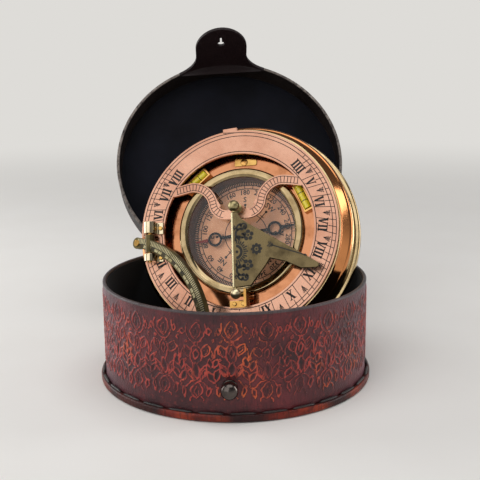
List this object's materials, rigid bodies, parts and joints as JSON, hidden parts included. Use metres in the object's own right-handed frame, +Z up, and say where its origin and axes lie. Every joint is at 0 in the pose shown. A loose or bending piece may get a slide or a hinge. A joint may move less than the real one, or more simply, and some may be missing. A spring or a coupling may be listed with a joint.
{
  "type": "sundial compass",
  "caption": "Folding sundial compass in polished brass, leaning in its round embossed leather case with the lid open.",
  "frame": {"origin": "centre of the leather case's bottom face, on the table", "axes": "+Z up, -Y towards the closure stud and the viewer, +X to the right"},
  "size_m": [0.1565, 0.2551, 0.1872],
  "materials": {
    "dark_leather": "satin",
    "welt_leather": "satin",
    "black_suede": "matte",
    "gunmetal": "polished",
    "champagne_brass": "polished",
    "antique_brass": "satin",
    "rose_copper": "satin",
    "clear_glass": "clear",
    "vial_glass": "clear",
    "blued_steel": "gloss"
  },
  "bodies": {
    "case": {"case_wall": "dark_leather", "case_bottom": "welt_leather", "wall_lining": "black_suede", "floor_pad": "black_suede", "closure_stud": "gunmetal", "stud_backing": "gunmetal", "hinge_strap_tray": "dark_leather"},
    "lid": {"hinge_strap_lid": "dark_leather", "lid_skirt": "dark_leather", "lid_top": "dark_leather", "lid_lining": "black_suede"},
    "compass_base": {"base_body": "champagne_brass", "bottom_plate": "champagne_brass", "bottom_screws": "antique_brass", "deck_plate": "champagne_brass", "compass_bowl": "champagne_brass", "dial_card": "rose_copper", "pivot_post": "champagne_brass", "compass_glass": "clear_glass", "bezel": "champagne_brass", "level_mount_left": "champagne_brass", "level_mount_right": "champagne_brass", "level_vial_left": "vial_glass", "level_vial_right": "vial_glass", "hinge_ears": "champagne_brass", "ring_hinge_pin": "antique_brass"},
    "hour_ring": {"hour_ring": "rose_copper", "ring_knuckles": "champagne_brass", "gnomon_post": "antique_brass", "gnomon_bracket": "champagne_brass", "bracket_screws": "champagne_brass", "arc_bracket": "champagne_brass", "arc_pin": "antique_brass"},
    "gnomon": {"gnomon_plate": "antique_brass", "gnomon_pivots": "antique_brass"},
    "latitude_arc": {"latitude_arc": "antique_brass", "arc_boss": "antique_brass"},
    "needle": {"compass_needle": "blued_steel", "needle_cap": "champagne_brass"},
    "levelling_screw_1": {"levelling_screw_1": "champagne_brass"},
    "levelling_screw_2": {"levelling_screw_2": "champagne_brass"},
    "levelling_screw_3": {"levelling_screw_3": "champagne_brass"}
  },
  "joints": [
    {"name": "lid_hinge", "type": "hinge", "parent": "case", "child": "lid", "pos_m": [-0.00444, 0.07477, 0.0409], "axis": [-0.9982, -0.0593, 0], "range_deg": [-48, 48]},
    {"name": "compass_lift", "type": "slide", "parent": "case", "child": "compass_base", "axis": [0, 0, 1], "range_m": [0, 0.2]},
    {"name": "hour_ring_hinge", "type": "hinge", "parent": "compass_base", "child": "hour_ring", "pos_m": [0.00365, -0.01658, 0.02337], "axis": [0.9689, -0.215, 0.1225], "range_deg": [0, 52]},
    {"name": "gnomon_pivot", "type": "hinge", "parent": "hour_ring", "child": "gnomon", "pos_m": [0.0001, 0.00036, 0.08121], "axis": [0.0281, -0.3962, -0.9177], "range_deg": [0, 90]},
    {"name": "arc_pivot", "type": "hinge", "parent": "hour_ring", "child": "latitude_arc", "pos_m": [-0.04751, 0.01302, 0.07429], "axis": [0.0281, -0.3962, -0.9177], "range_deg": [-20, 56]},
    {"name": "needle_spin", "type": "hinge", "parent": "compass_base", "child": "needle", "pos_m": [0.00536, 0.01947, 0.07312], "axis": [-0.2459, -0.8926, 0.3778], "continuous": true},
    {"name": "levelling_screw_1_travel", "type": "slide", "parent": "compass_base", "child": "levelling_screw_1", "axis": [0.2459, 0.8926, -0.3778], "range_m": [0, 0.006]},
    {"name": "levelling_screw_2_travel", "type": "slide", "parent": "compass_base", "child": "levelling_screw_2", "axis": [0.2459, 0.8926, -0.3778], "range_m": [0, 0.006]},
    {"name": "levelling_screw_3_travel", "type": "slide", "parent": "compass_base", "child": "levelling_screw_3", "axis": [0.2459, 0.8926, -0.3778], "range_m": [0, 0.006]}
  ]
}
